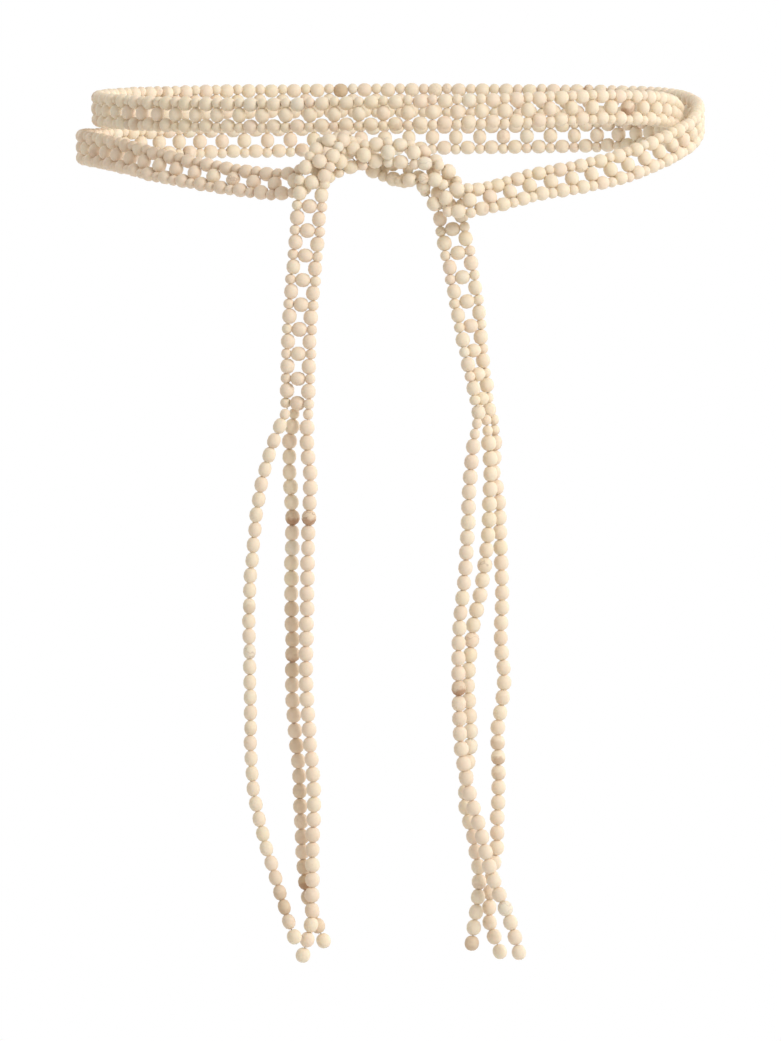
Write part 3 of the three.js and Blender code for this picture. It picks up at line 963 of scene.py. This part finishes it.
def stone_material(name, colours):
    """Matte ground stone: a tint for each bead, soft mottling, a few veins and rusty stains, and painted
    shade at the drilled ends, where the beads touch.
    """
    material = bpy.data.materials.new(name)
    tree, surface = shader(material)
    place = tree.nodes.new("ShaderNodeTexCoord").outputs["Object"]
    grain = bead_value(tree, "grain")

    lot = add_node(tree, "ShaderNodeValToRGB", Fac=bead_value(tree, "tint"))
    lot.color_ramp.elements[0].color = opaque(colours.pale)
    lot.color_ramp.elements[1].color = opaque(colours.tan)
    for position, colour in (
        (0.08, colours.pale), (0.25, colours.butter), (0.5, colours.cream), (0.75, colours.blush),
        (0.92, colours.blush),
    ):
        lot.color_ramp.elements.new(position).color = opaque(colour)

    cloud = grain_noise(tree, place, grain, CLOUDS_PER_METRE, 3.0)
    cloudy = blend_colours(
        tree, calculate(tree, "MULTIPLY", cloud, CLOUD_STRENGTH), lot.outputs["Color"],
        opaque(Vector(colours.blush) * CLOUD_SHADE),
    )
    speck = grain_noise(tree, place, grain, SPECKS_PER_METRE, 2.0)
    specks = calculate(
        tree, "MULTIPLY", calculate(tree, "SUBTRACT", speck, SPECK_FROM, True), SPECK_STRENGTH,
    )
    specked = blend_colours(tree, specks, cloudy, opaque(colours.tan))

    ridge = calculate(tree, "SUBTRACT", grain_noise(tree, place, grain, VEINS_PER_METRE, 2.0), 0.5)
    flank = calculate(tree, "MULTIPLY", calculate(tree, "ABSOLUTE", ridge, 0.0), VEIN_SHARPNESS)
    line = calculate(tree, "SUBTRACT", 1.0, flank, True)
    veins = calculate(
        tree, "MULTIPLY", line, calculate(tree, "MULTIPLY", bead_value(tree, "vein"), VEIN_STRENGTH),
    )
    veined = blend_colours(tree, veins, specked, opaque(colours.rust))

    cloud_edge = calculate(
        tree, "ADD", grain_noise(tree, place, grain, STAINS_PER_METRE, 3.0),
        calculate(tree, "MULTIPLY", bead_value(tree, "level"), STAIN_LEAN),
    )
    patch = add_node(
        tree, "ShaderNodeMapRange", Value=cloud_edge, From_Min=STAIN_FROM, From_Max=STAIN_TO,
    )
    stain = calculate(
        tree, "MULTIPLY", patch.outputs["Result"],
        calculate(tree, "MULTIPLY", bead_value(tree, "stain"), STAIN_STRENGTH),
    )
    stained = blend_colours(tree, stain, veined, opaque(Vector(colours.rust) * STAIN_SHADE))

    # Painted shade at the drilled ends, where the beads touch: darker towards the hole
    rim = calculate(
        tree, "MULTIPLY", calculate(tree, "POWER", bead_value(tree, "rim"), PAINTED_HOLE_FALLOFF), PAINTED_HOLE_STRENGTH,
    )
    finished = blend_colours(tree, rim, stained, opaque(Vector(colours.tan) * PAINTED_HOLE_SHADE))
    tree.links.new(finished, surface.inputs["Base Color"])

    polish = add_node(
        tree, "ShaderNodeMapRange", Value=speck,
        To_Min=colours.roughness - ROUGHNESS_LOSS, To_Max=colours.roughness + ROUGHNESS_GAIN,
    )
    tree.links.new(polish.outputs["Result"], surface.inputs["Roughness"])
    surface.inputs["Specular IOR Level"].default_value = 0.4
    surface.inputs["Subsurface Weight"].default_value = 0.12
    surface.inputs["Subsurface Radius"].default_value = (1.0, 0.55, 0.3)
    surface.inputs["Subsurface Scale"].default_value = 0.6 * MM

    relief = calculate(tree, "ADD", speck, calculate(tree, "MULTIPLY", cloud, 2.0))
    bump = add_node(tree, "ShaderNodeBump", Height=relief, Strength=0.3, Distance=0.05 * MM)
    tree.links.new(bump.outputs["Normal"], surface.inputs["Normal"])
    return material


def thread_material(name, look):
    """Waxed thread, twisted from finer ones."""
    material = bpy.data.materials.new(name)
    tree, surface = shader(material)
    place = tree.nodes.new("ShaderNodeTexCoord").outputs["Object"]
    twist = add_node(
        tree, "ShaderNodeTexWave", {"bands_direction": "DIAGONAL"},
        Vector=place, Scale=TWISTS_PER_METRE, Distortion=2.0,
    )
    colour = blend_colours(
        tree, twist.outputs["Fac"], opaque(look.colour), opaque(Vector(look.colour) * THREAD_SHADE),
    )
    tree.links.new(colour, surface.inputs["Base Color"])
    surface.inputs["Roughness"].default_value = 0.8
    bump = add_node(
        tree, "ShaderNodeBump", Height=twist.outputs["Fac"], Strength=0.4, Distance=0.08 * MM,
    )
    tree.links.new(bump.outputs["Normal"], surface.inputs["Normal"])
    return material


def reusable(name, make, look):
    """The material of that name, made once."""
    return bpy.data.materials.get(name) or make(name, look)


def carry(piece, node):
    """The piece stands for its node and keeps to the belt's one body."""
    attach(piece, "root")
    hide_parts(node)


class Stringer:
    """Makes strands into pieces, all with one kind of bead and of stone."""

    def __init__(self, scene, kind, sides, bands):
        self.kind = kind
        self.sizes = scene.belt_beads
        self.bead = drilled_bead(f"{kind} bead", sides, bands, self.sizes.fullness)
        self.tree = stringing_tree()
        self.values = {
            "Drilled Bead": self.bead,
            "Stone": reusable(f"{kind} stone", stone_material, scene.belt_stone),
            "Thread": reusable("waxed thread", thread_material, scene.belt_thread),
            "Thread Width": scene.belt_thread.width,
            "Lump Height": self.sizes.lumps,
            "Lumps per Metre": LUMPS_PER_METRE,
            "Seed": self.sizes.seed,
        }

    def string(self, strand):
        """Strings the strand's beads and keeps the result as one plain mesh."""
        strand.mark()
        carrier = bpy.data.objects.new(f"{strand.name}_points", strand.mesh())
        bpy.context.scene.collection.objects.link(carrier)
        stringing = carrier.modifiers.new("Strung beads", "NODES")
        stringing.node_group = self.tree
        for item in self.tree.interface.items_tree:
            if item.in_out == "INPUT" and item.name in self.values:
                stringing[item.identifier] = self.values[item.name]
        graph = bpy.context.evaluated_depsgraph_get()
        mesh = bpy.data.meshes.new_from_object(
            carrier.evaluated_get(graph), preserve_all_data_layers=True, depsgraph=graph,
        )
        carrier.modifiers.clear()
        bpy.data.objects.remove(carrier)
        mesh.name = f"beads_{strand.name}"
        if not mesh.polygons:
            raise RuntimeError(f"{strand.name}: no beads were strung")
        piece = bpy.data.objects.new(mesh.name, mesh)
        bpy.context.scene.collection.objects.link(piece)
        carry(piece, strand.name)

    def put_away(self):
        """Removes the bead that the pieces were strung from."""
        bpy.data.objects.remove(self.bead)


class BELT_OT_weave_bands(bpy.types.Operator):
    """Weave the band's thirteen stretches, from the left tail round the waist to the right tail"""

    bl_idname = "belt.weave_bands"
    bl_label = "Weave the bands"

    def execute(self, context):
        route = band_route()
        pitch = route.length / round(route.length / BEAD_PITCH)
        stringer = Stringer(context.scene, "band", STRUNG_SIDES, STRUNG_BANDS)
        start = 0.0
        for name, table, row in BAND_PIECES:
            along = route.along[(FIRST_ROW[table] + row) * SAMPLES_PER_POINT]
            end = (round(along / pitch - RUNG_SHARE) + RUNG_SHARE) * pitch
            if name == BAND_PIECES[-1][0]:
                end = route.length
            strand = Strand(name, stringer.sizes)
            weave(strand, route, pitch, start, end)
            stringer.string(strand)
            start = end
        stringer.put_away()
        return {"FINISHED"}


class BELT_OT_hang_strings(bpy.types.Operator):
    """Hang the three strings of beads from each tail"""

    bl_idname = "belt.hang_strings"
    bl_label = "Hang the strings"

    def execute(self, context):
        stringer = Stringer(context.scene, "string", STRUNG_SIDES, STRUNG_BANDS)
        for name in STRING_ROUTES:
            strand = Strand(name, stringer.sizes)
            hang(strand, string_route(name))
            stringer.string(strand)
        stringer.put_away()
        return {"FINISHED"}


class BELT_OT_end_beads(bpy.types.Operator):
    """Put the last bead on each string, with a short end of thread below it"""

    bl_idname = "belt.end_beads"
    bl_label = "Put on the end beads"

    def execute(self, context):
        stringer = Stringer(context.scene, "end", END_SIDES, END_BANDS)
        size = stringer.sizes.big_bead
        for string in STRING_ROUTES:
            node = string.replace("string", "end_bead")
            route = string_route(string)
            low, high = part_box(node)
            centre = (low + high) / 2
            down = route.tangent(route.length)
            strand = Strand(node, stringer.sizes)
            last = strand.bare(route.point(route.length))
            number = strand.add(centre, down, size, size)
            strand.tie(last, number)
            tail = strand.bare(centre + down * (size / 2 + THREAD_STUB))
            strand.tie(number, tail)
            stringer.string(strand)
        stringer.put_away()
        return {"FINISHED"}


def disc(name, radius, height):
    mesh = bpy.data.meshes.new(name)
    turns = [2 * math.pi * side / FLOOR_SIDES for side in range(FLOOR_SIDES)]
    rim = [(radius * math.cos(turn), radius * math.sin(turn), height) for turn in turns]
    mesh.from_pydata(rim, [], [range(FLOOR_SIDES)])
    floor = bpy.data.objects.new(name, mesh)
    bpy.context.scene.collection.objects.link(floor)
    return floor


def floor_material(colour, glow):
    material = bpy.data.materials.new("matte floor")
    tree, surface = shader(material)
    place = tree.nodes.new("ShaderNodeTexCoord").outputs["Object"]
    patches = add_node(tree, "ShaderNodeTexNoise", Vector=place, Scale=0.6, Detail=2.0)
    painted = blend_colours(
        tree, patches.outputs[0], opaque(colour), opaque(Vector(colour) * FLOOR_SHADE),
    )
    tree.links.new(painted, surface.inputs["Base Color"])
    surface.inputs["Roughness"].default_value = 0.9
    tree.links.new(painted, surface.inputs["Emission Color"])
    seen = tree.nodes.new("ShaderNodeLightPath").outputs["Is Camera Ray"]
    tree.links.new(calculate(tree, "MULTIPLY", seen, glow), surface.inputs["Emission Strength"])
    return material


def soft_light(name, place, size, power):
    """A square soft light that looks at the middle of the belt."""
    light = bpy.data.lights.new(name, "AREA")
    light.size = size
    light.energy = power
    lamp = bpy.data.objects.new(name, light)
    lamp.location = place
    lamp.rotation_euler = (LIT_POINT - Vector(place)).to_track_quat("-Z", "Y").to_euler()
    bpy.context.scene.collection.objects.link(lamp)


def room_world(strength):
    """Even light from all round, with a white backdrop."""
    world = bpy.data.worlds.new("white room")
    world.use_nodes = True
    tree = world.node_tree
    tree.nodes.clear()
    seen = add_node(tree, "ShaderNodeBackground", Color=(1, 1, 1, 1), Strength=1.0)
    light = add_node(tree, "ShaderNodeBackground", Color=opaque(WARM_WHITE), Strength=strength)
    path = tree.nodes.new("ShaderNodeLightPath")
    mix = tree.nodes.new("ShaderNodeMixShader")
    tree.links.new(path.outputs["Is Camera Ray"], mix.inputs[0])
    tree.links.new(light.outputs[0], mix.inputs[1])
    tree.links.new(seen.outputs[0], mix.inputs[2])
    output = tree.nodes.new("ShaderNodeOutputWorld")
    tree.links.new(mix.outputs[0], output.inputs["Surface"])
    bpy.context.scene.world = world


def photo_camera():
    """Stands four and a half metres off and looks down a little, as the photograph does."""
    distance = 4.5
    aside = 1.6 * MM
    elevation = math.radians(1.35)
    waist_row = 126.2
    below_waist = math.atan((PHOTO_HEIGHT / 2 - waist_row) / FOCAL_PIXELS)
    data = bpy.data.cameras.new("photo camera")
    data.sensor_width = SENSOR
    data.lens = FOCAL_PIXELS * SENSOR / max(PHOTO_WIDTH, PHOTO_HEIGHT)
    data.clip_start = 0.1
    data.clip_end = 100
    camera = bpy.data.objects.new("photo camera", data)
    camera.location = (aside, -distance, distance * math.tan(elevation))
    camera.rotation_euler = (math.pi / 2 - elevation - below_waist, 0, 0)
    bpy.context.scene.collection.objects.link(camera)
    bpy.context.scene.camera = camera


class BELT_OT_studio(bpy.types.Operator):
    """Set up the pale floor, the soft lights, the white room and the camera"""

    bl_idname = "belt.studio"
    bl_label = "Set up the studio"

    def execute(self, context):
        look = context.scene.belt_studio
        floor = disc("floor", look.floor_reach, -look.floor_drop)
        floor.data.materials.append(floor_material(look.floor_colour, look.floor_glow))
        for name, place, size in LIGHTS:
            soft_light(name, place, size, getattr(look, f"{name}_power"))
        room_world(look.room_light)
        photo_camera()
        context.scene.view_settings.view_transform = "Standard"
        return {"FINISHED"}


class BELT_PT_sidebar(bpy.types.Panel):
    """The belt's sizes, colours and steps"""

    bl_label = "Beaded belt"
    bl_idname = "BELT_PT_sidebar"
    bl_space_type = "VIEW_3D"
    bl_region_type = "UI"
    bl_category = "Beaded belt"

    def draw(self, context):
        for settings in SETTINGS:
            box = self.layout.box()
            group = getattr(context.scene, settings)
            for key in group.bl_rna.properties.keys():
                if key not in ("rna_type", "name"):
                    box.prop(group, key)
        for operator in OPERATORS:
            self.layout.operator(operator.bl_idname)


SETTINGS = {
    "belt_beads": BeadSizes,
    "belt_stone": StoneColours,
    "belt_thread": ThreadLook,
    "belt_studio": StudioLook,
}
OPERATORS = (BELT_OT_weave_bands, BELT_OT_hang_strings, BELT_OT_end_beads, BELT_OT_studio)


def register():
    for group in SETTINGS.values():
        bpy.utils.register_class(group)
    for name, group in SETTINGS.items():
        setattr(bpy.types.Scene, name, PointerProperty(type=group))
    for operator in OPERATORS:
        bpy.utils.register_class(operator)
    bpy.utils.register_class(BELT_PT_sidebar)


def unregister():
    bpy.utils.unregister_class(BELT_PT_sidebar)
    for operator in OPERATORS:
        bpy.utils.unregister_class(operator)
    for name, group in SETTINGS.items():
        delattr(bpy.types.Scene, name)
        bpy.utils.unregister_class(group)


def main():
    register()
    bpy.ops.belt.weave_bands()
    bpy.ops.belt.hang_strings()
    bpy.ops.belt.end_beads()
    bpy.ops.belt.studio()


if __name__ == "__main__":
    main()
